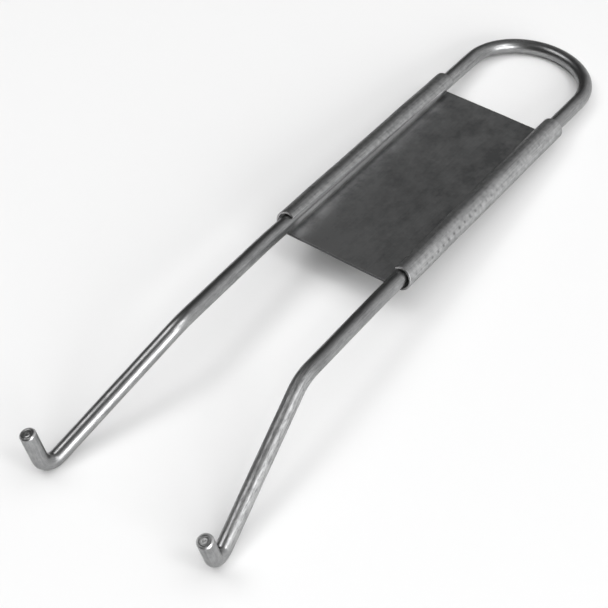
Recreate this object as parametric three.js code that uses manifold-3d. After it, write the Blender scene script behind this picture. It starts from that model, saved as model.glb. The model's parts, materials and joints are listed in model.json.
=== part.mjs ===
// Frame grip: a hooked steel rod bent into a U, with a rolled-edge palm plate that slides along its legs.
// Millimetres, +Z up. The grip rests on both elbows and the top of its bow, hooks pointing up;
// +Y runs from the hooks to the bow, +X from the left leg to the right one.
// The rod is laid out with its straight legs in the plane z = 0 and its bow starting at y = 0,
// then both pieces are tilted together onto their resting points. The rod is bent by hand, so its
// left and right sides differ a little, and the legs dip slightly on their way to the bends.

import * as THREE from 'three';
import { mergeVertices } from 'three/addons/utils/BufferGeometryUtils.js';
import Module from 'manifold-3d';

// Rod
const ROD_RADIUS = 3;
const LEG_HALF_SPACING = 25.1;
const BOW_DEPTH = 23.2;
const DIP_START_Y = -144;
const DIP_RADIUS = 300;
const LEFT_BEND = new THREE.Vector3(-LEG_HALF_SPACING, -192.2, -2.2);
const RIGHT_BEND = new THREE.Vector3(LEG_HALF_SPACING, -189.3, -1.6);
const BEND_RADIUS = 25;
const LEFT_ELBOW = new THREE.Vector3(-36.1, -254, -30.7);
const RIGHT_ELBOW = new THREE.Vector3(35.9, -250.9, -30.3);
const ELBOW_RADIUS = 5;
const LEFT_HOOK = new THREE.Vector3(-3, -2.9, 19.4);
const RIGHT_HOOK = new THREE.Vector3(-0.1, -4.8, 17.5);
const TIP_CHAMFER = 0.6;

// Plate
const SHEET_THICKNESS = 0.8;
const ROLL_OUTER_RADIUS = 4.5;
const ROLL_HALF_SPACING = 25.35;
const PLATE_FRONT_Y = -131.2;
const PLATE_LENGTH = 109.8;
const FRONT_LEAN = 1.9;
const FREE_EDGE_ANGLE = THREE.MathUtils.degToRad(41);
const FREE_EDGE_SKEW = 1.8;
const TRIM_ALLOWANCE = THREE.MathUtils.degToRad(18);

// Facets
const ROD_SIDES = 32;
const BOW_STEPS = 40;
const ELBOW_STEPS = 10;
const BEND_STEPS = 8;
const DIP_STEPS = 2;
const ROLL_STEPS = 28;
const CHAMFER_SIDES = 64;
const CUTTER_REACH = 1;
const WELD = 1e-4;

const wasm = await Module();
wasm.setup();

// A course through given points, straight between each and the next.
class Course extends THREE.Curve {
  constructor(points) {
    super();
    this.points = points;
  }

  getPoint(t, target = new THREE.Vector3()) {
    const place = t * (this.points.length - 1);
    const index = Math.min(Math.floor(place), this.points.length - 2);
    return target.lerpVectors(this.points[index], this.points[index + 1], place - index);
  }

  getUtoTmapping(u) {
    return u;
  }
}

function toManifold(geometry) {
  geometry.deleteAttribute('normal');
  geometry.deleteAttribute('uv');
  const welded = mergeVertices(geometry, WELD);
  const vertProperties = new Float32Array(welded.getAttribute('position').array);
  const triVerts = new Uint32Array(welded.index.array);
  return new wasm.Manifold(new wasm.Mesh({ numProp: 3, vertProperties, triVerts }));
}

function toGeometry(manifold) {
  const mesh = manifold.getMesh();
  const geometry = new THREE.BufferGeometry();
  geometry.setAttribute('position', new THREE.BufferAttribute(mesh.vertProperties, 3));
  geometry.setIndex(new THREE.BufferAttribute(mesh.triVerts, 1));
  geometry.computeVertexNormals();
  return geometry;
}

// The rounded corner at a meeting of two straight runs, as points from one run to the other.
function corner(before, at, after, radius, steps) {
  const inward = at.clone().sub(before).normalize();
  const outward = after.clone().sub(at).normalize();
  const halfTurn = inward.angleTo(outward) / 2;
  const toCentre = outward.clone().sub(inward).normalize();
  const forward = outward.clone().add(inward).normalize();
  const centre = at.clone().addScaledVector(toCentre, radius / Math.cos(halfTurn));
  const points = [];
  for (let i = 0; i <= steps; i += 1) {
    const angle = halfTurn * ((2 * i) / steps - 1);
    const spoke = forward.clone().multiplyScalar(Math.sin(angle) * radius);
    spoke.addScaledVector(toCentre, -Math.cos(angle) * radius);
    points.push(spoke.add(centre));
  }
  return points;
}

function bowPoints() {
  const points = [];
  for (let i = 0; i <= BOW_STEPS; i += 1) {
    const angle = Math.PI * (1 - i / BOW_STEPS);
    points.push(new THREE.Vector3(LEG_HALF_SPACING * Math.cos(angle), BOW_DEPTH * Math.sin(angle), 0));
  }
  return points;
}

// One leg's points, from the hook's tip to the start of the bow. Hook is the way from the elbow to the tip.
function legPoints(bend, elbow, hook) {
  const bowStart = new THREE.Vector3(bend.x, 0, 0);
  const dipStart = new THREE.Vector3(bend.x, DIP_START_Y, 0);
  const tip = elbow.clone().add(hook);
  return [
    tip,
    ...corner(tip, elbow, bend, ELBOW_RADIUS, ELBOW_STEPS),
    ...corner(elbow, bend, dipStart, BEND_RADIUS, BEND_STEPS),
    ...corner(bend, dipStart, bowStart, DIP_RADIUS, DIP_STEPS),
  ];
}

// A ring with a 45 degree inner slope, which cuts the chamfer round a rod end.
function chamferCutter(tip, outward) {
  const inner = ROD_RADIUS - TIP_CHAMFER;
  const outer = ROD_RADIUS + CUTTER_REACH;
  const drop = outer - inner;
  const profile = [
    new THREE.Vector2(inner, 0),
    new THREE.Vector2(outer, -drop),
    new THREE.Vector2(outer, CUTTER_REACH),
    new THREE.Vector2(inner, CUTTER_REACH),
    new THREE.Vector2(inner, 0),
  ];
  const geometry = new THREE.LatheGeometry(profile, CHAMFER_SIDES);
  const turn = new THREE.Quaternion().setFromUnitVectors(new THREE.Vector3(0, 1, 0), outward);
  geometry.applyQuaternion(turn);
  geometry.translate(tip.x, tip.y, tip.z);
  return toManifold(geometry);
}

function endDirection(points) {
  return points[0].clone().sub(points[1]).normalize();
}

function rodGeometry(points) {
  const section = new THREE.Shape().absarc(0, 0, ROD_RADIUS, 0, Math.PI * 2);
  const swept = new THREE.ExtrudeGeometry(section, {
    steps: points.length - 1,
    curveSegments: ROD_SIDES / 2,
    extrudePath: new Course(points),
  });
  const fromEnd = [...points].reverse();
  let rod = toManifold(swept);
  rod = rod.subtract(chamferCutter(points[0], endDirection(points)));
  rod = rod.subtract(chamferCutter(fromEnd[0], endDirection(fromEnd)));
  return toGeometry(rod);
}

// The sheet's outline across the legs: left roll, flat underside, right roll, and back along the inside.
function sheetOutline() {
  const inner = ROLL_OUTER_RADIUS - SHEET_THICKNESS;
  const bottom = -Math.PI / 2;
  const leftEnd = FREE_EDGE_ANGLE - TRIM_ALLOWANCE;
  const rightEnd = Math.PI - leftEnd;
  const shape = new THREE.Shape();
  shape.absarc(-ROLL_HALF_SPACING, 0, ROLL_OUTER_RADIUS, leftEnd, bottom + 2 * Math.PI, false);
  shape.absarc(ROLL_HALF_SPACING, 0, ROLL_OUTER_RADIUS, bottom, rightEnd, false);
  shape.absarc(ROLL_HALF_SPACING, 0, inner, rightEnd, bottom, true);
  shape.absarc(-ROLL_HALF_SPACING, 0, inner, bottom + 2 * Math.PI, leftEnd, true);
  return shape;
}

// A block whose top face crosses one roll's wall, which trims the free edge to run slightly askew.
function edgeTrimmer(side) {
  const across = 4 * SHEET_THICKNESS;
  const depth = ROLL_OUTER_RADIUS;
  const geometry = new THREE.BoxGeometry(across, 2 * PLATE_LENGTH, depth);
  geometry.translate(ROLL_OUTER_RADIUS - SHEET_THICKNESS / 2, 0, -depth / 2);
  geometry.rotateX(side * Math.atan2(FREE_EDGE_SKEW, PLATE_LENGTH));
  geometry.rotateY(-FREE_EDGE_ANGLE);
  geometry.rotateZ(side > 0 ? Math.PI : 0);
  geometry.translate(side * ROLL_HALF_SPACING, PLATE_FRONT_Y + PLATE_LENGTH / 2, 0);
  return toManifold(geometry);
}

// A block ahead of the plate's front cut, which leans back towards the tops of the rolls.
function frontTrimmer() {
  const reach = FRONT_LEAN + 2 * CUTTER_REACH;
  const geometry = new THREE.BoxGeometry(4 * ROLL_HALF_SPACING, reach, 6 * ROLL_OUTER_RADIUS);
  geometry.translate(0, -reach / 2, 0);
  geometry.rotateX(-Math.atan2(FRONT_LEAN, 2 * ROLL_OUTER_RADIUS));
  geometry.translate(0, PLATE_FRONT_Y, -ROLL_OUTER_RADIUS);
  return toManifold(geometry);
}

function plateGeometry() {
  const rolled = new THREE.ExtrudeGeometry(sheetOutline(), {
    depth: PLATE_LENGTH + CUTTER_REACH,
    curveSegments: ROLL_STEPS / 2,
    bevelEnabled: false,
  });
  rolled.rotateX(Math.PI / 2);
  rolled.translate(0, PLATE_FRONT_Y + PLATE_LENGTH, 0);
  let plate = toManifold(rolled);
  for (const trimmer of [edgeTrimmer(-1), edgeTrimmer(1), frontTrimmer()]) {
    plate = plate.subtract(trimmer);
  }
  return toGeometry(plate);
}

// The tilt that puts the elbows level with the top of the bow.
function restingTilt(points, bowTop) {
  return Math.max(...points.map((point) => Math.atan2(bowTop.z - point.z, bowTop.y - point.y)));
}

function addPiece(group, name, geometry, color, roughness) {
  const material = new THREE.MeshStandardMaterial({ color, metalness: 1, roughness });
  const mesh = new THREE.Mesh(geometry, material);
  mesh.name = name;
  group.add(mesh);
}

const leftLeg = legPoints(LEFT_BEND, LEFT_ELBOW, LEFT_HOOK);
const rightLeg = legPoints(RIGHT_BEND, RIGHT_ELBOW, RIGHT_HOOK);
const rodPoints = [...leftLeg, ...bowPoints(), ...rightLeg.reverse()];
const bowTop = new THREE.Vector3(0, BOW_DEPTH, 0);

const grip = new THREE.Group();
addPiece(grip, 'rod', rodGeometry(rodPoints), 0xb4b6b8, 0.32);
addPiece(grip, 'plate', plateGeometry(), 0x75777a, 0.45);
grip.rotation.x = -restingTilt(rodPoints, bowTop);
grip.updateMatrixWorld(true);

const bounds = new THREE.Box3().setFromObject(grip, true);
const middle = bounds.getCenter(new THREE.Vector3());
grip.position.set(-middle.x, -middle.y, -bounds.min.z);

export default grip;
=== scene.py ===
"""The frame grip's looks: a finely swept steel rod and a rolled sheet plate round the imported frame.

Both pieces are laid out in millimetres with the rod's straight legs in the plane z = 0 and its bow
starting at y = 0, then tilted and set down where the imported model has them.
"""

import json
import math

import bpy
import numpy as np
from mathutils import Matrix, Vector


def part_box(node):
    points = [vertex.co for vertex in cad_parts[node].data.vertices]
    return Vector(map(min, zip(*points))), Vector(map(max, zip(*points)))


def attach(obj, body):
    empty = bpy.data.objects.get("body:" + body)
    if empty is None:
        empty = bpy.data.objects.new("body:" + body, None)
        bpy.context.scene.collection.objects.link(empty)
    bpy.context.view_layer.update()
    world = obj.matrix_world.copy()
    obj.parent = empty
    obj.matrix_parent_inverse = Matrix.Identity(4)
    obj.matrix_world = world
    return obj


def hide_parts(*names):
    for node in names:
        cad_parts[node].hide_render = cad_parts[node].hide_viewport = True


MM = 0.001
TURN = 2 * math.pi
RANDOM_SEED = 11

# Rod, in millimetres
ROD_RADIUS = 3.0
LEG_HALF_SPACING = 25.1
BOW_DEPTH = 23.2
DIP_START_Y = -144.0
DIP_RADIUS = 300.0
LEFT_BEND = np.array([-LEG_HALF_SPACING, -192.2, -2.2])
RIGHT_BEND = np.array([LEG_HALF_SPACING, -189.3, -1.6])
BEND_RADIUS = 25.0
LEFT_ELBOW = np.array([-36.1, -254.0, -30.7])
RIGHT_ELBOW = np.array([35.9, -250.9, -30.3])
ELBOW_RADIUS = 5.0
LEFT_HOOK = np.array([-3.0, -2.9, 19.4])
RIGHT_HOOK = np.array([-0.1, -4.8, 17.5])

# Fineness of the rod: points round each ring, and millimetres between rings
ROD_SIDES = 72
ROD_STEP = 1.2
ROUND_STEP = 0.45
FEWEST_ROUND_STEPS = 8

# Unevenness of the drawn rod: its depth, how many ripples make it up, and what each may be
DRAWING_UNEVENNESS = 0.05
DRAWING_RIPPLES = 22
RIPPLE_LOBES = (0, 4)
RIPPLE_LENGTHS = (5.0, 32.0)

# Stretch of the right arm that is scuffed, from the tip of its hook
SCUFFED_FROM_TIP = 19.0
SCUFFED_TO_TIP = 93.0
SCUFF_FADE = 10.0

# Part of the legs painted lighter underneath, standing in for light where they lie in shade inside the
# plate's rolls
PAINTED_LEG_LIGHT_FROM_Y = -130.0
PAINTED_LEG_LIGHT_TO_Y = -26.0
PAINTED_LEG_LIGHT_FADE = 4.0
PAINTED_LEG_LIGHT_BELOW_Z = 1.35
PAINTED_LEG_LIGHT_EDGE_FADE = 0.6

# Each ring of the rod's cropped ends: depth below the end, radius, share of raw cut metal
TIP_RINGS = (
    (0.85, 3.0, 0.0),
    (0.64, 2.98, 0.25),
    (0.52, 2.92, 0.5),
    (0.12, 2.52, 0.5),
    (0.03, 2.4, 0.75),
    (0.0, 2.26, 1.0),
    (0.05, 2.06, 1.0),
    (0.2, 1.84, 1.0),
    (0.24, 1.62, 1.0),
    (0.16, 1.4, 1.0),
    (0.09, 1.16, 1.0),
    (0.11, 0.8, 1.0),
    (0.13, 0.4, 1.0),
    (0.12, 0.1, 1.0),
)
TIP_REACH = 1.1
TIP_ASKEW_DEPTH = 0.1
TIP_ASKEW_RADIUS = 0.18
TIP_CHEW_DEPTH = 0.06
# Waves of the chewed face: weight, lobes round it, turns of its phase
TIP_CHEW_WAVES = ((0.6, 2, 1), (0.4, 5, -2))

# Plate, in millimetres
SHEET_THICKNESS = 0.8
ROLL_OUTER_RADIUS = 4.5
ROLL_HALF_SPACING = 25.35
PLATE_FRONT_Y = -131.2
PLATE_LENGTH = 109.8
FRONT_LEAN = 1.9
LEAN_REACH = 9.0
LEAN_POWER = 1.5
FREE_EDGE_ANGLE = math.radians(41.0)
FREE_EDGE_SKEW = 1.8
FREE_EDGE_BULGE = 0.6
EDGE_ROUNDING = 0.16
EDGE_KNEE = 0.048

# Fineness of the plate. Columns run round one row of the sheet, and a loop goes round both its sides
ROLL_COLUMNS = 60
FLAT_COLUMNS = 72
PLATE_ROWS = 220
EDGE_TURNS = 5
SHEET_COLUMNS = 2 * ROLL_COLUMNS + FLAT_COLUMNS + 1
LOOP_SIZE = 2 * (SHEET_COLUMNS + EDGE_TURNS)

# Creases where the flat was folded up
CREASE_DEPTH = 0.05
CREASE_WIDTH = 0.55
CREASE_FROM_ROLL = 3.4

# Row of roller marks along the right roll
MARK_PITCH = 3.75
MARK_DEPTH = 0.14
MARK_WIDTH = 0.55
MARK_FROM_EDGE = 7.5
MARK_WANDER = 0.4
MARK_WANDER_LENGTH = 9.0
MARKS_MIDDLE = 32.0
MARKS_REACH = 30.0

# Waves of the sheet: weight, millimetres per radian across it and along it, phase, and a further
# phase that is opposite on its left and right sides
FLAT_WAVE_DEPTH = 0.05
FLAT_WAVES = ((1.0, 7.3, 19.0, 0.0, 0.0), (0.7, 4.1, -11.0, 1.3, 0.0))
ROLL_WAVE_DEPTH = 0.04
ROLL_WAVES = ((1.0, 5.0, 8.5, 0.0, 1.0), (0.8, -3.0, 4.9, 0.0, 2.0))
FLAT_WAVES_HALF_WIDTH = ROLL_HALF_SPACING - 1.0
FLAT_WAVES_FADE_POWER = 4

# Surface patterns: features per millimetre along x, y and z, then detail and roughness
PATTERNS = {
    "patches": ((0.16, 0.16, 0.06), 4.0, 0.55),
    "smudges": ((0.35, 0.35, 0.3), 3.0, 0.6),
    "lines": ((2.6, 2.6, 0.06), 3.0, 0.6),
    "grain": ((3.5, 3.5, 3.5), 2.0, 0.55),
    "flecks": ((1.9, 1.9, 0.32), 4.0, 0.75),
    "clouds": ((0.12, 0.09, 0.12), 4.0, 0.6),
    "mottle": ((0.6, 0.5, 0.6), 3.0, 0.55),
    "streaks": ((2.2, 0.05, 2.2), 2.0, 0.55),
}

# Greys of the steels, dark and light where a pattern moves between two
STEEL_TINT = 0.002
BAR_GREYS = (0.23, 0.4)
SCUFF_GREYS = (0.28, 0.56)
FLECK_GREY = 0.16
# Painted light: near-white grey on the legs' undersides, where they lie in shade inside the rolls
PAINTED_LEG_LIGHT_GREY = 0.95
CHAMFER_GREY = 0.6
FACE_GREY = 0.3
BAR_EDGE_GREY = 0.9
FLAT_GREYS = (0.21, 0.385)
ROLL_GREYS = (0.24, 0.5)
# Painted light: light grey in the shaded corner between the flat and the left roll
CORNER_PAINTED_LIGHT_GREY = 0.85
MARK_GREY = 0.12
# Painted light: light grey inside the rolls, where they lie in shade round the rod
INSIDE_PAINTED_LIGHT_GREY = 0.75
CUT_FLAT_GREY = 0.11
CUT_ROLL_GREY = 0.5
SHEET_EDGE_GREY = 0.6

# Drawn bar: weights of its patterns, and the values at which a share starts and is full
BAR_TONE = {"patches": 0.45, "smudges": 0.25, "lines": 0.3}
BAR_HEIGHT = {"lines": 0.3375, "smudges": 0.1875, "grain": 0.225, "flecks": 0.35}
BAR_TONE_SPREAD = (0.38, 0.62)
FLECK_SPREAD = (0.47, 0.6)
FLECK_SHARES = (0.35, 0.7)
CHAMFER_CUT = (0.25, 0.5)
FACE_CUT = (0.6, 1.0)
BAR_ROUGHNESS = (0.38, 0.27)
SCUFF_ROUGHNESS = 0.13
BAR_BUMP = {"Strength": 0.8, "Distance": 0.07 * MM}

# Rolled sheet: the same, with places in millimetres across, along and through the unrolled sheet
FLAT_TONE = {"clouds": 0.65, "mottle": 0.22, "streaks": 0.13}
ROLL_TONE = {"clouds": 0.2, "mottle": 0.45, "streaks": 0.35}
SHEET_HEIGHT = {"mottle": 0.55, "streaks": 0.45}
FLAT_TONE_SPREAD = (0.38, 0.62)
ROLL_TONE_SPREAD = (0.36, 0.64)
ROLL_BEGINS = (27.0, 33.0)
# Painted light in the shaded corner beside the left roll: where it starts across the sheet and where it
# is full
LEFT_CORNER_PAINTED_LIGHT = (-23.0, -24.5)
# Painted light inside the rolls: depth through the sheet where it starts and where it is full
INSIDE_PAINTED_LIGHT_DEPTH = (0.7 * SHEET_THICKNESS, SHEET_THICKNESS)
SHEET_ROUGHNESS = (0.48, 0.38)
SHEET_BUMP = {"Strength": 0.5, "Distance": 0.08 * MM}
# Slow changes of tone: axis, where it starts and ends, what it adds at either
FLAT_GRADIENTS = (
    ("Y", 0.0, 36.0, 0.12, 0.0),
    ("X", -25.0, 25.0, 0.05, -0.05),
    ("X", -23.0, -14.0, -0.1, 0.0),
)
ROLL_GRADIENTS = (("X", -30.0, 30.0, 0.0, 0.05),)

# Stage: metres and degrees, with azimuths from +Y towards +X
FLOOR_HALF = 2.5
FLOOR_GREY = 0.8
FLOOR_ROUGHNESS = 0.6
# Each panel: name, azimuth, elevation, distance, width and height, power, whether metal reflects it
PANELS = (
    ("key_softbox", 111.0, 13.0, 3.0, (1.9, 2.0), 84.0, True),
    ("fill_softbox", -110.0, 58.0, 1.5, (0.7, 0.6), 4.2, True),
    ("bow_card", 90.0, 50.0, 3.0, (0.7, 1.1), 17.0, True),
    ("overhead_for_floor", 0.0, 90.0, 3.0, (4.0, 4.0), 70.0, False),
)
AIR_GREYS = (0.06, 0.9)
AIR_LIGHT_SIDE = (0.8, 0.55, 0.0)
AIR_SPREAD = (-0.02, 0.95)
CAMERA_PLACE = (0.24475, -0.33091, 0.44887)
CAMERA_TARGET = (0.00131, -0.0367, 0.012)
CAMERA_ROLL = math.radians(-4.733)
CAMERA_LENS = 95.36
CAMERA_SENSOR = 36.0
CAMERA_CLIP_START = 0.01

# Places of the two colours and the result among the sockets of a Mix node
MIX_LOW, MIX_HIGH, MIX_RESULT = 6, 7, 2

random = np.random.default_rng(RANDOM_SEED)


def unit(vector):
    vector = np.asarray(vector, dtype=float)
    return vector / np.linalg.norm(vector)


def from_0_to_1(wave):
    """A wave that runs from -1 to 1, brought between 0 and 1."""
    return (1 + wave) / 2


def hump(distance, width):
    """1 at no distance, falling smoothly away over the width."""
    return np.exp(-((distance / width) ** 2))


# ---------------------------------------------------------------- the rod's course


def rounded_corner(before, at, after, radius):
    """The points round the meeting of two straight runs."""
    inward = unit(at - before)
    outward = unit(after - at)
    half_turn = math.acos(float(inward @ outward)) / 2
    to_centre = unit(outward - inward)
    forward = unit(outward + inward)
    centre = at + to_centre * radius / math.cos(half_turn)
    steps = max(FEWEST_ROUND_STEPS, round(2 * half_turn * radius / ROUND_STEP))
    angles = np.linspace(-half_turn, half_turn, steps + 1)
    spokes = np.outer(np.sin(angles), forward) - np.outer(np.cos(angles), to_centre)
    return centre + radius * spokes


def straight_run(start, end):
    """Points between two others, without those two."""
    steps = max(1, round(np.linalg.norm(end - start) / ROD_STEP))
    share = np.linspace(0.0, 1.0, steps + 1)[1:-1, None]
    return start + (end - start) * share


def leg_course(bend, elbow, hook):
    """One leg's points from the hook's tip to the start of the bow. Hook is the way from elbow to tip."""
    bow_start = np.array([bend[0], 0.0, 0.0])
    dip_start = np.array([bend[0], DIP_START_Y, 0.0])
    tip = elbow + hook
    elbow_round = rounded_corner(tip, elbow, bend, ELBOW_RADIUS)
    bend_round = rounded_corner(elbow, bend, dip_start, BEND_RADIUS)
    dip_round = rounded_corner(bend, dip_start, bow_start, DIP_RADIUS)
    return np.vstack(
        [
            tip,
            straight_run(tip, elbow_round[0]),
            elbow_round,
            straight_run(elbow_round[-1], bend_round[0]),
            bend_round,
            straight_run(bend_round[-1], dip_round[0]),
            dip_round,
            straight_run(dip_round[-1], bow_start),
        ]
    )


def bow_course():
    steps = round(math.pi * LEG_HALF_SPACING / ROD_STEP)
    angles = math.pi * (1 - np.arange(steps + 1) / steps)
    return np.column_stack(
        [LEG_HALF_SPACING * np.cos(angles), BOW_DEPTH * np.sin(angles), np.zeros(steps + 1)]
    )


def rod_course():
    left = leg_course(LEFT_BEND, LEFT_ELBOW, LEFT_HOOK)
    right = leg_course(RIGHT_BEND, RIGHT_ELBOW, RIGHT_HOOK)
    return np.vstack([left, bow_course(), right[::-1]])


def cross_directions(points):
    """Two steady directions square to the course at each of its points."""
    tangents = np.gradient(points, axis=0)
    tangents /= np.linalg.norm(tangents, axis=1)[:, None]
    normals = [unit(np.cross(tangents[0], [1.0, 0.0, 0.0]))]
    for tangent in tangents[1:]:
        previous = normals[-1]
        normals.append(unit(previous - tangent * (previous @ tangent)))
    normals = np.array(normals)
    return normals, np.cross(tangents, normals)


# ---------------------------------------------------------------- meshes


def new_piece(name, points, faces, attributes, material):
    """A smooth mesh from millimetre points, with a value or a vector for each point."""
    mesh = bpy.data.meshes.new(name)
    mesh.from_pydata([tuple(p) for p in points * MM], [], faces)
    for key, values in attributes.items():
        values = np.asarray(values, dtype=np.float32)
        kind, field = ("FLOAT_VECTOR", "vector") if values.ndim == 2 else ("FLOAT", "value")
        layer = mesh.attributes.new(key, kind, "POINT")
        layer.data.foreach_set(field, values.ravel())
    mesh.polygons.foreach_set("use_smooth", [True] * len(mesh.polygons))
    mesh.materials.append(material)
    mesh.validate()
    mesh.update()
    piece = bpy.data.objects.new(name, mesh)
    bpy.context.scene.collection.objects.link(piece)
    return piece


def tube_faces(rings, sides):
    """The faces between closed rings, wound to face outwards."""
    faces = []
    for ring in range(rings - 1):
        for side in range(sides):
            a = ring * sides + side
            b = ring * sides + (side + 1) % sides
            faces.append((a + sides, b + sides, b, a))
    return faces


# ---------------------------------------------------------------- the rod


def ripples(angles, along):
    """The bar's smooth random unevenness, between 0 and DRAWING_UNEVENNESS."""
    total = np.zeros(np.broadcast(angles, along).shape)
    for _ in range(DRAWING_RIPPLES):
        lobes = random.integers(*RIPPLE_LOBES)
        length = random.uniform(*RIPPLE_LENGTHS)
        phase = random.uniform(0.0, TURN)
        total += np.sin(lobes * angles + TURN * along / length + phase)
    return DRAWING_UNEVENNESS * from_0_to_1(total / DRAWING_RIPPLES)


def tip_rings(angles):
    """Each ring of a slightly askew, chewed end: depth below the end, radius, share of cut metal."""
    phase = random.uniform(0.0, TURN)
    askew = from_0_to_1(np.cos(angles - phase))
    chew = from_0_to_1(
        sum(weight * np.cos(lobes * angles + turns * phase) for weight, lobes, turns in TIP_CHEW_WAVES)
    )
    rings = []
    for depth, radius, share in TIP_RINGS:
        width = radius / ROD_RADIUS
        ring_radius = radius - TIP_ASKEW_RADIUS * askew * share * width
        ring_depth = depth + TIP_ASKEW_DEPTH * (1 - askew) * share + TIP_CHEW_DEPTH * chew * share * width
        rings.append((ring_depth, ring_radius, share))
    return rings


class RingStack:
    """Rings of points round a course, with the place each would have on the straight, unbent bar."""

    def __init__(self, points, angles):
        self.points = points
        self.normals, self.binormals = cross_directions(points)
        steps = np.linalg.norm(np.diff(points, axis=0), axis=1)
        self.along = np.concatenate([[0.0], np.cumsum(steps)])
        self.cos, self.sin = np.cos(angles)[:, None], np.sin(angles)[:, None]
        self.rings, self.unbent, self.cut = [], [], []

    def add(self, index, radius, cut=0.0, depth=0.0, inward=(0.0, 0.0, 0.0)):
        """Radius and depth are one number, or one for each point of the ring."""
        shape = (len(self.cos), 1)
        radius = np.broadcast_to(np.reshape(radius, (-1, 1)), shape)
        depth = np.broadcast_to(np.reshape(depth, (-1, 1)), shape)
        spokes = self.cos * self.normals[index] + self.sin * self.binormals[index]
        self.rings.append(self.points[index] + depth * inward + radius * spokes)
        along = self.along[index] + (depth if index == 0 else -depth)
        self.unbent.append(np.hstack([radius * self.cos, radius * self.sin, along]))
        self.cut.append(np.full(len(self.cos), cut))


def stack_rod(points):
    """The rod's rings, from the left hook's tip to the right one's."""
    angles = np.linspace(0, TURN, ROD_SIDES, endpoint=False)
    stack = RingStack(points, angles)
    unevenness = ripples(angles[None, :], stack.along[:, None])
    last = len(points) - 1
    for depth, radius, share in reversed(tip_rings(angles)):
        stack.add(0, radius, share, depth, unit(points[1] - points[0]))
    for index in range(1, last):
        if TIP_REACH < stack.along[index] < stack.along[last] - TIP_REACH:
            stack.add(index, ROD_RADIUS - unevenness[index])
    for depth, radius, share in tip_rings(angles):
        stack.add(last, radius, share, depth, unit(points[-2] - points[-1]))
    return stack


def rod_attributes(stack, verts):
    """What the rod's material reads: the unbent place, how cut and scuffed each point is, and how much
    painted light lightens it underneath inside the rolls.
    """
    unbent = np.vstack(stack.unbent)
    from_tip = stack.along[-1] - unbent[:, 2]
    from_scuff_ends = np.minimum(from_tip - SCUFFED_FROM_TIP, SCUFFED_TO_TIP - from_tip)
    from_leg_light_ends = np.minimum(verts[:, 1] - PAINTED_LEG_LIGHT_FROM_Y, PAINTED_LEG_LIGHT_TO_Y - verts[:, 1])
    underneath = np.clip((PAINTED_LEG_LIGHT_BELOW_Z - verts[:, 2]) / PAINTED_LEG_LIGHT_EDGE_FADE, 0, 1)
    return {
        "unbent_mm": unbent,
        "cut": np.concatenate(stack.cut),
        "scuffed": np.clip(from_scuff_ends / SCUFF_FADE, 0, 1),
        "leg_painted_light": underneath * np.clip(from_leg_light_ends / PAINTED_LEG_LIGHT_FADE, 0, 1),
    }


def build_rod(material):
    stack = stack_rod(rod_course())
    verts = np.vstack(stack.rings)
    faces = tube_faces(len(stack.rings), ROD_SIDES)
    faces.append(tuple(range(ROD_SIDES)))
    faces.append(tuple(reversed(range(len(verts) - ROD_SIDES, len(verts)))))
    return new_piece("bent_rod", verts, faces, rod_attributes(stack, verts), material)


# ---------------------------------------------------------------- the plate


def sheet_columns(free_edge):
    """Middle-surface points, outward normals and flat widths along the section, from left to right."""
    middle = ROLL_OUTER_RADIUS - SHEET_THICKNESS / 2
    bottom = 0.75 * TURN
    turn = np.linspace(free_edge, bottom, ROLL_COLUMNS + 1)
    left = np.column_stack([np.cos(turn), np.sin(turn)])
    left_points = left * middle + [-ROLL_HALF_SPACING, 0.0]
    share = np.linspace(-1.0, 1.0, FLAT_COLUMNS + 1)[1:-1]
    flat_points = np.column_stack([share * ROLL_HALF_SPACING, np.full(len(share), -middle)])
    flat_normals = np.tile([0.0, -1.0], (len(share), 1))
    mirror = np.array([-1.0, 1.0])
    points = np.vstack([left_points, flat_points, left_points[::-1] * mirror])
    normals = np.vstack([left, flat_normals, left[::-1] * mirror])
    widths = np.concatenate([[0.0], np.cumsum(np.linalg.norm(np.diff(points, axis=0), axis=1))])
    return points, normals, widths - widths[-1] / 2


def plate_rows():
    """(y, half thickness) of each row; the first and last few rows round the cut ends."""
    half = SHEET_THICKNESS / 2
    front = [(0.0, half - EDGE_ROUNDING), (EDGE_KNEE, half - EDGE_KNEE), (EDGE_ROUNDING, half)]
    inner = np.linspace(EDGE_ROUNDING, PLATE_LENGTH - EDGE_ROUNDING, PLATE_ROWS)[1:-1]
    back = [(PLATE_LENGTH - y, thick) for y, thick in reversed(front)]
    return front + [(y, half) for y in inner] + back


def creases(widths):
    """How far the sheet is pushed in along its outward normal where it was folded up."""
    crease_at = ROLL_HALF_SPACING - CREASE_FROM_ROLL
    return CREASE_DEPTH * hump(np.abs(widths) - crease_at, CREASE_WIDTH)


def marks(widths, y):
    """How strongly the roller has marked the sheet, in short dashes along the right roll."""
    mark_at = widths[-1] - MARK_FROM_EDGE - MARK_WANDER * math.sin(y / MARK_WANDER_LENGTH)
    beat = max(0.0, math.sin(TURN * y / MARK_PITCH)) ** 2
    strength = hump(y - MARKS_MIDDLE, MARKS_REACH)
    return beat * strength * hump(widths - mark_at, MARK_WIDTH)


def waves(table, widths, y):
    """The sum of a table's waves over the unrolled sheet."""
    sides = np.sign(widths)
    total = np.zeros(len(widths))
    for weight, across, along, phase, side_phase in table:
        total += weight * np.sin(widths / across + y / along + phase + side_phase * sides)
    return total


def lumps(widths, y):
    """How far the sheet waves out along its outward normal, on the flat and on the rolls."""
    on_flat = np.clip(1 - (np.abs(widths) / FLAT_WAVES_HALF_WIDTH) ** FLAT_WAVES_FADE_POWER, 0, 1)
    flat = FLAT_WAVE_DEPTH * on_flat * waves(FLAT_WAVES, widths, y)
    return flat + ROLL_WAVE_DEPTH * (1 - on_flat) * waves(ROLL_WAVES, widths, y)


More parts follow.
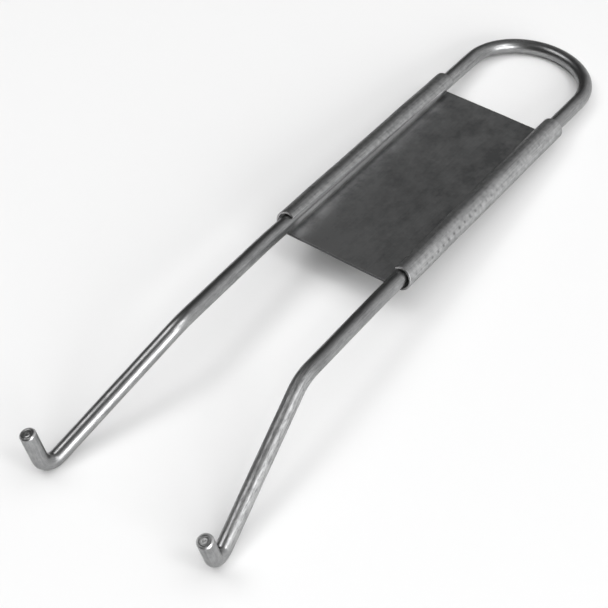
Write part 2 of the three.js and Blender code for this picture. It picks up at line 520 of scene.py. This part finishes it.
def sheet_row(y):
    """The sheet's middle surface at one row: points, outward normals, flat widths and roller marks."""
    skew = FREE_EDGE_SKEW * (0.5 - y / PLATE_LENGTH)
    free_edge = FREE_EDGE_ANGLE + math.atan2(skew, ROLL_OUTER_RADIUS - SHEET_THICKNESS / 2)
    points, normals, widths = sheet_columns(free_edge)
    marked = marks(widths, y)
    outward = lumps(widths, y) - creases(widths) - MARK_DEPTH * marked
    return points + normals * outward[:, None], normals, widths, marked


def round_free_edge(edge, neighbour, first_side, half, turn):
    """Points round a free edge, beginning on the side of the sheet that first_side points to."""
    outward = unit(edge - neighbour)
    return edge + half * (np.cos(turn) * first_side + FREE_EDGE_BULGE * np.sin(turn) * outward)


def front_lean(y, z):
    """How far the front cut has moved a point back, more towards the tops of the rolls."""
    height = (z + ROLL_OUTER_RADIUS) / (2 * ROLL_OUTER_RADIUS)
    return FRONT_LEAN * height * max(0.0, 1 - y / LEAN_REACH) ** LEAN_POWER


def sheet_loop(y, half):
    """One closed row round the sheet: outside, right free edge, inside, left free edge.

    Returns its points, their places on the unrolled sheet, and how cut and how marked each one is.
    Round a free edge the place through the sheet grows with the turn.
    """
    points, normals, widths, marked = sheet_row(y)
    turn = np.linspace(0, math.pi, EDGE_TURNS + 2)[1:-1]
    right_edge = round_free_edge(points[-1], points[-2], normals[-1], half, turn[:, None])
    left_edge = round_free_edge(points[0], points[1], -normals[0], half, turn[:, None])
    loop = np.vstack([points + normals * half, right_edge, (points - normals * half)[::-1], left_edge])
    edge = np.ones(EDGE_TURNS)
    side = np.ones(SHEET_COLUMNS)
    at_end = 1.0 if half < SHEET_THICKNESS / 2 else 0.0
    across = np.concatenate([widths, edge * widths[-1], widths[::-1], edge * widths[0]])
    through = np.concatenate([0 * side, turn, SHEET_THICKNESS * side, turn])
    cut = np.concatenate([at_end * side, edge, at_end * side, edge])
    marked = np.concatenate([marked, 0 * edge, 0 * side, 0 * edge])
    verts = np.column_stack([loop[:, 0], PLATE_FRONT_Y + y + front_lean(y, loop[:, 1]), loop[:, 1]])
    unrolled = np.column_stack([across, np.full(LOOP_SIZE, y), through])
    return verts, unrolled, cut, marked


def end_faces(base):
    """The faces that close one cut end of the sheet, between its outside and its inside."""
    opposite = base + 2 * SHEET_COLUMNS + EDGE_TURNS - 1
    faces = []
    for i in range(SHEET_COLUMNS - 1):
        faces.append((base + i, base + i + 1, opposite - i - 1, opposite - i))
    faces.append(tuple(base + i for i in range(SHEET_COLUMNS - 1, SHEET_COLUMNS + EDGE_TURNS + 1)))
    faces.append(tuple(base + i % LOOP_SIZE for i in range(LOOP_SIZE - EDGE_TURNS - 1, LOOP_SIZE + 1)))
    return faces


def build_plate(material):
    rows = [sheet_loop(y, half) for y, half in plate_rows()]
    verts, unrolled, cut, marked = zip(*rows)
    faces = tube_faces(len(rows), LOOP_SIZE)
    faces += end_faces(0)
    faces += [tuple(reversed(face)) for face in end_faces((len(rows) - 1) * LOOP_SIZE)]
    attributes = {
        "unrolled_mm": np.vstack(unrolled),
        "cut": np.concatenate(cut),
        "marked": np.concatenate(marked),
    }
    return new_piece("palm_plate", np.vstack(verts), faces, attributes, material)


# ---------------------------------------------------------------- nodes


def feed(tree, socket, value):
    """Links another node's output to a socket, or sets the socket to a plain value."""
    if isinstance(value, bpy.types.NodeSocket):
        tree.links.new(value, socket)
    else:
        socket.default_value = value


def add(tree, kind, inputs=(), **settings):
    """A new node, with the named inputs fed and its other settings set."""
    item = tree.nodes.new(kind)
    for key, value in settings.items():
        setattr(item, key, value)
    for key, value in dict(inputs).items():
        feed(tree, item.inputs[key], value)
    return item


def noise(tree, coordinate, scale, detail, roughness):
    """Noise over a millimetre coordinate. Scale is features per millimetre along x, y and z."""
    mapping = add(tree, "ShaderNodeMapping", {"Vector": coordinate, "Scale": scale})
    grain = {"Scale": 1.0, "Detail": detail, "Roughness": roughness}
    texture = add(tree, "ShaderNodeTexNoise", {"Vector": mapping.outputs["Vector"], **grain})
    return texture.outputs["Fac"]


def patterns(tree, coordinate, *names):
    """The named surface patterns over a millimetre coordinate."""
    return {name: noise(tree, coordinate, *PATTERNS[name]) for name in names}


def ranged(tree, value, from_low, from_high, to_low, to_high):
    """A value moved from one range to another and kept within the second."""
    ends = {"From Min": from_low, "From Max": from_high, "To Min": to_low, "To Max": to_high}
    item = add(tree, "ShaderNodeMapRange", {"Value": value, **ends})
    return item.outputs["Result"]


def share_over(tree, value, spread):
    """0 where the value is at the start of the spread, 1 where it is at its end."""
    return ranged(tree, value, *spread, 0.0, 1.0)


def between(tree, share, ends):
    """The number that lies this share of the way between two others."""
    return ranged(tree, share, 0.0, 1.0, *ends)


def maths(tree, operation, first, second):
    item = add(tree, "ShaderNodeMath", operation=operation)
    feed(tree, item.inputs[0], first)
    feed(tree, item.inputs[1], second)
    return item.outputs["Value"]


def mixed(tree, share, low, high):
    """The colour that lies this share of the way between two others."""
    item = add(tree, "ShaderNodeMix", {"Factor": share}, data_type="RGBA")
    feed(tree, item.inputs[MIX_LOW], low)
    feed(tree, item.inputs[MIX_HIGH], high)
    return item.outputs[MIX_RESULT]


def grey(value, tint=0.0):
    return (value - tint, value, value + tint, 1.0)


def steel(value):
    return grey(value, STEEL_TINT)


def toned(tree, share, greys):
    """Steel between a dark and a light grey."""
    dark, light = greys
    return mixed(tree, share, steel(dark), steel(light))


def attribute(tree, name, output):
    return add(tree, "ShaderNodeAttribute", attribute_name=name).outputs[output]


def blended(tree, values, weights):
    """The weighted sum of named values."""
    parts = [maths(tree, "MULTIPLY", values[name], weight) for name, weight in weights.items()]
    total = parts[0]
    for part in parts[1:]:
        total = maths(tree, "ADD", total, part)
    return total


def shaded(tree, tone, place, gradients):
    """A tone with slow changes over the place added to it."""
    for axis, *span in gradients:
        tone = maths(tree, "ADD", tone, ranged(tree, place[axis], *span))
    return tone


# ---------------------------------------------------------------- materials


def new_steel(name, edge_grey):
    """A metal without its colour or relief yet. Edge grey is what it reflects at grazing angles."""
    material = bpy.data.materials.new(name)
    material.use_nodes = True
    tree = material.node_tree
    shader = tree.nodes["Principled BSDF"]
    shader.inputs["Metallic"].default_value = 1.0
    shader.inputs["Specular Tint"].default_value = grey(edge_grey)
    return material, tree, shader


def finish_steel(tree, shader, colour, rough, height, bump):
    """Joins a steel's colour, roughness and height to its shader."""
    relief = add(tree, "ShaderNodeBump", {"Height": height, **bump})
    feed(tree, shader.inputs["Base Color"], colour)
    feed(tree, shader.inputs["Roughness"], rough)
    feed(tree, shader.inputs["Normal"], relief.outputs["Normal"])


def bar_colour(tree, share, scuffed, flecks):
    """Its greys and dark flecks, then painted light on the legs' undersides inside the rolls, where they
    lie in shade, and raw metal at the cropped ends.
    """
    fleck_share = between(tree, scuffed, FLECK_SHARES)
    scratched = maths(tree, "MULTIPLY", share_over(tree, flecks, FLECK_SPREAD), fleck_share)
    # Painted light: lightens the legs' undersides inside the rolls, where they lie in shade
    leg_painted_light = attribute(tree, "leg_painted_light", "Fac")
    cut = attribute(tree, "cut", "Fac")
    colour = mixed(tree, scuffed, toned(tree, share, BAR_GREYS), toned(tree, share, SCUFF_GREYS))
    colour = mixed(tree, scratched, colour, steel(FLECK_GREY))
    colour = mixed(tree, leg_painted_light, colour, steel(PAINTED_LEG_LIGHT_GREY))
    colour = mixed(tree, share_over(tree, cut, CHAMFER_CUT), colour, grey(CHAMFER_GREY))
    return mixed(tree, share_over(tree, cut, FACE_CUT), colour, grey(FACE_GREY))


def rod_material():
    """Drawn bar with fine lines, flecks and duller patches, rougher where it is scuffed."""
    material, tree, shader = new_steel("drawn_bar_steel", BAR_EDGE_GREY)
    place = attribute(tree, "unbent_mm", "Vector")
    scuffed = attribute(tree, "scuffed", "Fac")
    pattern = patterns(tree, place, "patches", "smudges", "lines", "grain", "flecks")
    share = share_over(tree, blended(tree, pattern, BAR_TONE), BAR_TONE_SPREAD)
    colour = bar_colour(tree, share, scuffed, pattern["flecks"])
    rough = between(tree, share, BAR_ROUGHNESS)
    rough = maths(tree, "ADD", rough, maths(tree, "MULTIPLY", scuffed, SCUFF_ROUGHNESS))
    finish_steel(tree, shader, colour, rough, blended(tree, pattern, BAR_HEIGHT), BAR_BUMP)
    return material


def flat_colour(tree, share, across):
    """The flat, with a strip of painted light in the corner beside the left roll, where the roll and rod
    shade it.
    """
    # Painted light in the corner beside the left roll, where the roll and rod shade it
    corner_painted_light = share_over(tree, across, LEFT_CORNER_PAINTED_LIGHT)
    return mixed(tree, corner_painted_light, toned(tree, share, FLAT_GREYS), steel(CORNER_PAINTED_LIGHT_GREY))


def roll_colour(tree, share, through):
    """The rolls, with dark roller marks and painted light on the inside, where it lies in shade round the
    rod.
    """
    marked = attribute(tree, "marked", "Fac")
    # Painted light on the inside of the rolls, where it lies in shade round the rod
    inside = share_over(tree, through, INSIDE_PAINTED_LIGHT_DEPTH)
    colour = mixed(tree, marked, toned(tree, share, ROLL_GREYS), grey(MARK_GREY))
    return mixed(tree, inside, colour, grey(INSIDE_PAINTED_LIGHT_GREY))


def plate_material():
    """Dull cold-rolled sheet: mottled, with faint lines along it, worn lighter rolls and edges, and
    painted light in the shaded corner beside the left roll and inside the rolls.
    """
    material, tree, shader = new_steel("rolled_sheet_steel", SHEET_EDGE_GREY)
    unrolled = attribute(tree, "unrolled_mm", "Vector")
    place = add(tree, "ShaderNodeSeparateXYZ", {"Vector": unrolled}).outputs
    cut = attribute(tree, "cut", "Fac")
    pattern = patterns(tree, unrolled, "clouds", "mottle", "streaks")
    flat_tone = shaded(tree, blended(tree, pattern, FLAT_TONE), place, FLAT_GRADIENTS)
    roll_tone = shaded(tree, blended(tree, pattern, ROLL_TONE), place, ROLL_GRADIENTS)
    flat_share = share_over(tree, flat_tone, FLAT_TONE_SPREAD)
    roll_share = share_over(tree, roll_tone, ROLL_TONE_SPREAD)
    on_roll = share_over(tree, maths(tree, "ABSOLUTE", place["X"], 0.0), ROLL_BEGINS)
    flat = flat_colour(tree, flat_share, place["X"])
    roll = roll_colour(tree, roll_share, place["Z"])
    cut_colour = mixed(tree, on_roll, grey(CUT_FLAT_GREY), grey(CUT_ROLL_GREY))
    colour = mixed(tree, cut, mixed(tree, on_roll, flat, roll), cut_colour)
    rough = between(tree, flat_share, SHEET_ROUGHNESS)
    finish_steel(tree, shader, colour, rough, blended(tree, pattern, SHEET_HEIGHT), SHEET_BUMP)
    return material


# ---------------------------------------------------------------- placing


def set_down(pieces, joint_axis, rod_box):
    """Tilts the laid-out pieces along the plate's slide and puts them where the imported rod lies."""
    tilt = math.atan2(joint_axis[2], joint_axis[1])
    turn = Matrix.Rotation(tilt, 4, "X")
    for piece in pieces:
        piece.data.transform(turn)
    corners = np.array([vertex.co for vertex in pieces[0].data.vertices])
    middle = (corners.min(axis=0) + corners.max(axis=0)) / 2
    target = (np.array(rod_box[0]) + np.array(rod_box[1])) / 2
    for piece in pieces:
        piece.data.transform(Matrix.Translation(Vector(target - middle)))


# ---------------------------------------------------------------- stage


def floor_material():
    material = bpy.data.materials.new("studio_floor")
    material.use_nodes = True
    shader = material.node_tree.nodes["Principled BSDF"]
    shader.inputs["Base Color"].default_value = grey(FLOOR_GREY)
    shader.inputs["Roughness"].default_value = FLOOR_ROUGHNESS
    return material


def build_floor():
    quarters = ((-1, -1), (1, -1), (1, 1), (-1, 1))
    corners = [(x * FLOOR_HALF, y * FLOOR_HALF, 0.0) for x, y in quarters]
    mesh = bpy.data.meshes.new("studio_floor")
    mesh.from_pydata(corners, [], [(0, 1, 2, 3)])
    mesh.materials.append(floor_material())
    floor = bpy.data.objects.new("studio_floor", mesh)
    bpy.context.scene.collection.objects.link(floor)


def aim(obj, location, target, roll=0.0):
    """Puts a camera or a light at a place, looking at another and rolled about that line."""
    location, target = Vector(location), Vector(target)
    facing = (target - location).to_track_quat("-Z", "Y").to_matrix().to_4x4()
    obj.matrix_world = Matrix.Translation(location) @ facing @ Matrix.Rotation(roll, 4, "Z")


def light_panel(name, azimuth, elevation, distance, size, power, in_reflections):
    """A square-on panel of light, unseen by the camera itself."""
    light = bpy.data.lights.new(name, "AREA")
    light.shape = "RECTANGLE"
    light.size, light.size_y = size
    light.energy = power
    panel = bpy.data.objects.new(name, light)
    bpy.context.scene.collection.objects.link(panel)
    turn, rise = math.radians(azimuth), math.radians(elevation)
    away = Vector((math.sin(turn) * math.cos(rise), math.cos(turn) * math.cos(rise), math.sin(rise)))
    aim(panel, away * distance, (0.0, 0.0, 0.0))
    panel.visible_camera = False
    panel.visible_glossy = in_reflections


def build_air():
    """A dim room, lighter on the side of the key light."""
    world = bpy.data.worlds.new("studio_air")
    world.use_nodes = True
    tree = world.node_tree
    direction = add(tree, "ShaderNodeTexCoord").outputs["Generated"]
    facing = add(tree, "ShaderNodeVectorMath", operation="DOT_PRODUCT")
    feed(tree, facing.inputs[0], direction)
    feed(tree, facing.inputs[1], AIR_LIGHT_SIDE)
    share = share_over(tree, facing.outputs["Value"], AIR_SPREAD)
    dark, light = AIR_GREYS
    feed(tree, tree.nodes["Background"].inputs["Color"], mixed(tree, share, grey(dark), grey(light)))
    bpy.context.scene.world = world


def build_lights():
    for panel in PANELS:
        light_panel(*panel)
    build_air()


def build_camera():
    camera = bpy.data.cameras.new("camera")
    camera.lens = CAMERA_LENS
    camera.sensor_width = CAMERA_SENSOR
    camera.clip_start = CAMERA_CLIP_START
    shot = bpy.data.objects.new("camera", camera)
    bpy.context.scene.collection.objects.link(shot)
    aim(shot, CAMERA_PLACE, CAMERA_TARGET, CAMERA_ROLL)
    bpy.context.scene.camera = shot
    bpy.context.scene.view_settings.view_transform = "Standard"


# ---------------------------------------------------------------- scene

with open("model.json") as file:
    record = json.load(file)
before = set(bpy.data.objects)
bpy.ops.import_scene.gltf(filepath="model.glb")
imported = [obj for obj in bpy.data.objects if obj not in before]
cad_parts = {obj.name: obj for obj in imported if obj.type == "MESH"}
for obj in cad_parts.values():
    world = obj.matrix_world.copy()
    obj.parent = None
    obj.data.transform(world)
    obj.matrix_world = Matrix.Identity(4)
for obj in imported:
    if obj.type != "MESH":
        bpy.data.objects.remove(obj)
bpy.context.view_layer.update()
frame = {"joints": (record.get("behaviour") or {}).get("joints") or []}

rod = build_rod(rod_material())
plate = build_plate(plate_material())
set_down([rod, plate], frame["joints"][0]["axis"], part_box("rod"))
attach(rod, "rod")
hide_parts("rod")
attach(plate, "plate")
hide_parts("plate")

build_floor()
build_lights()
build_camera()
